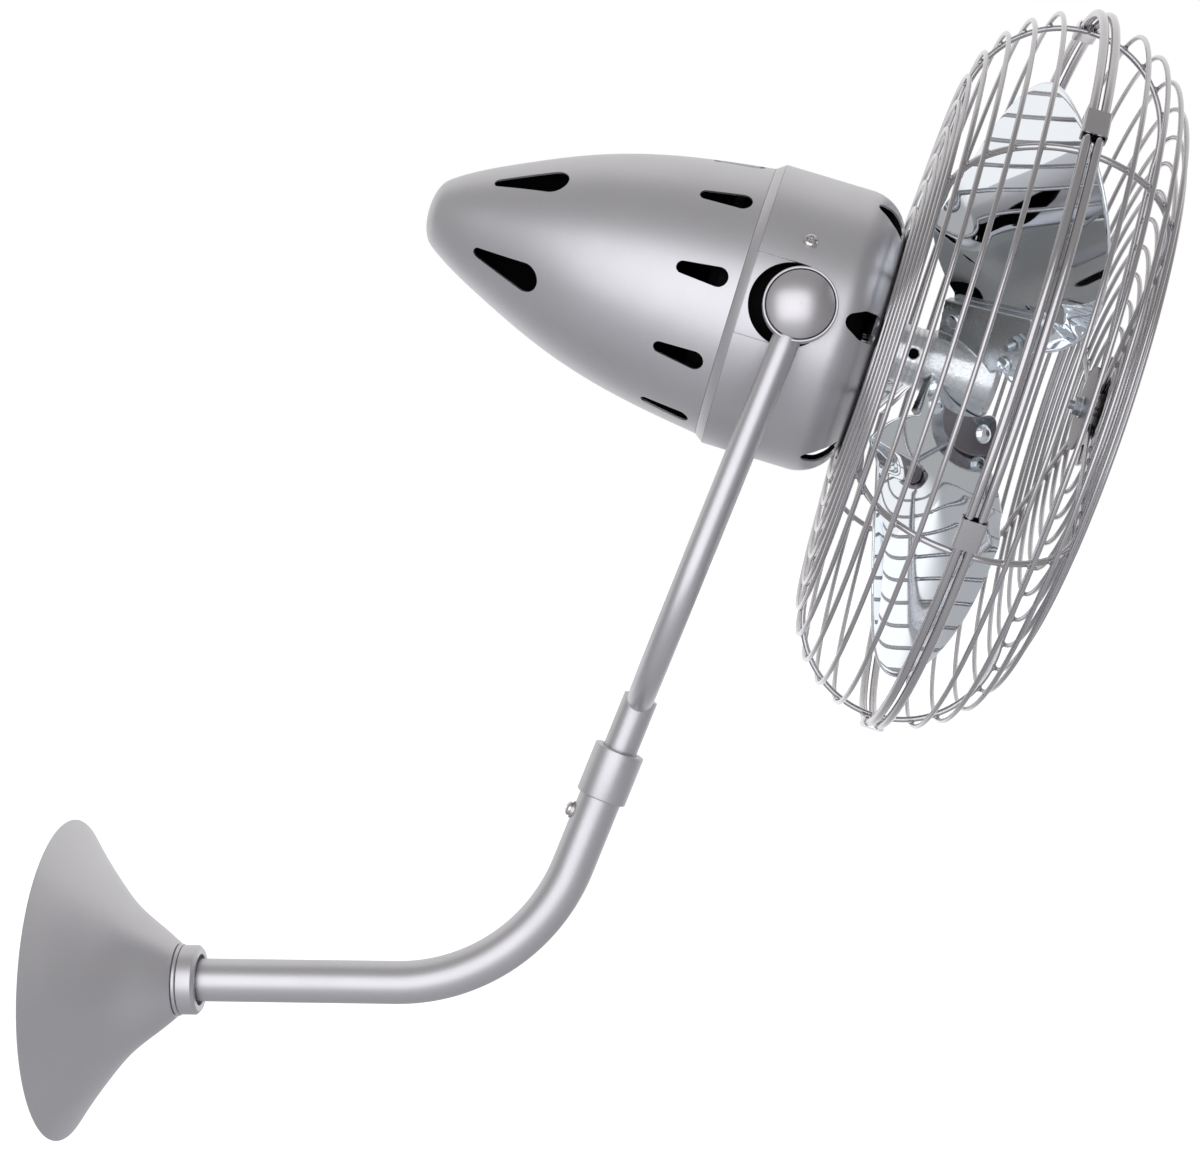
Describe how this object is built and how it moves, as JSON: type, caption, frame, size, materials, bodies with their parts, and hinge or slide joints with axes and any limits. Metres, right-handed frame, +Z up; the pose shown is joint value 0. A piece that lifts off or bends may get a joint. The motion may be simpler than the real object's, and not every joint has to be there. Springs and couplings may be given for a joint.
{
  "type": "wall mounted fan",
  "caption": "Wall mounted fan: a bent arm on a flared wall canopy carries a swivelling yoke, which holds a tilting bullet-shaped motor head with a caged chrome-bladed rotor.",
  "frame": {"origin": "centre of the wall plate on the wall face, midway between the two wall bolt holes", "axes": "+X out of the wall, +Z up, Y along the wall"},
  "size_m": [0.5676, 0.3734, 0.5792],
  "materials": {
    "satin_nickel": "satin nickel lacquer",
    "cage_wire": "satin nickel lacquer",
    "bare_steel": "plain",
    "plated_screw": "zinc plated",
    "cast_aluminium": "as cast",
    "mirror_chrome": "polished",
    "copper_wire": "enamelled",
    "bronze": "sintered",
    "black_enamel": "baked enamel",
    "black_plastic": "moulded"
  },
  "bodies": {
    "wall_arm": {"wall_canopy": "satin_nickel", "wall_plate": "bare_steel", "arm_socket": "bare_steel", "socket_screws": "plated_screw", "canopy_ring": "satin_nickel", "canopy_collar": "satin_nickel", "arm_grub_screws": "plated_screw", "terminal_block": "black_plastic", "terminal_screws": "plated_screw", "arm_tube": "satin_nickel", "arm_coupling": "satin_nickel", "swivel_washer": "plated_screw", "swivel_screw": "plated_screw"},
    "yoke": {"yoke_rod": "satin_nickel", "yoke_stem": "satin_nickel", "yoke_ear_far": "satin_nickel", "yoke_ear_near": "satin_nickel", "ear_cap_far": "satin_nickel", "ear_cap_near": "satin_nickel", "pivot_studs": "bare_steel", "friction_washers": "bare_steel"},
    "head": {"rear_housing": "satin_nickel", "housing_tabs": "bare_steel", "front_housing": "satin_nickel", "housing_band": "satin_nickel", "housing_screws": "plated_screw", "motor_frame": "black_enamel", "motor_rear_bell": "black_enamel", "motor_tie_bolts": "black_enamel", "motor_bearings": "bare_steel", "stator_core": "bare_steel", "stator_windings": "copper_wire", "run_capacitor": "black_enamel", "capacitor_bracket": "black_enamel", "pivot_bushes": "bronze", "rear_cage_face_rings": "cage_wire", "front_cage_face_rings": "cage_wire", "rear_cage_shoulder_rings": "cage_wire", "front_cage_shoulder_rings": "cage_wire", "rear_cage_ribs": "cage_wire", "front_cage_ribs": "cage_wire", "rear_cage_rim": "cage_wire", "front_cage_rim": "cage_wire", "cage_mount_ring": "bare_steel", "cage_mount_screws": "plated_screw", "cage_rim_clips": "cage_wire", "cage_badge": "cage_wire", "badge_clamp_disc": "cage_wire", "badge_bolt": "plated_screw", "badge_nut": "plated_screw"},
    "rotor": {"blade_1": "mirror_chrome", "blade_2": "mirror_chrome", "blade_3": "mirror_chrome", "blade_hub": "cast_aluminium", "blade_rivets": "mirror_chrome", "blade_bolts": "plated_screw", "hub_grub_screw": "plated_screw", "motor_shaft": "bare_steel", "rotor_core": "bare_steel"}
  },
  "joints": [
    {"name": "swivel", "type": "hinge", "parent": "wall_arm", "child": "yoke", "pos_m": [0.3804, 0, 0.3438], "axis": [0.3746, 0, 0.9272], "range_deg": [-90, 90]},
    {"name": "tilt", "type": "hinge", "parent": "yoke", "child": "head", "pos_m": [0.3804, 0, 0.3438], "axis": [0, -1, 0], "range_deg": [-20, 70]},
    {"name": "spin", "type": "hinge", "parent": "head", "child": "rotor", "pos_m": [0.3804, 0, 0.3438], "axis": [-0.9554, 0, 0.2954], "continuous": true}
  ]
}
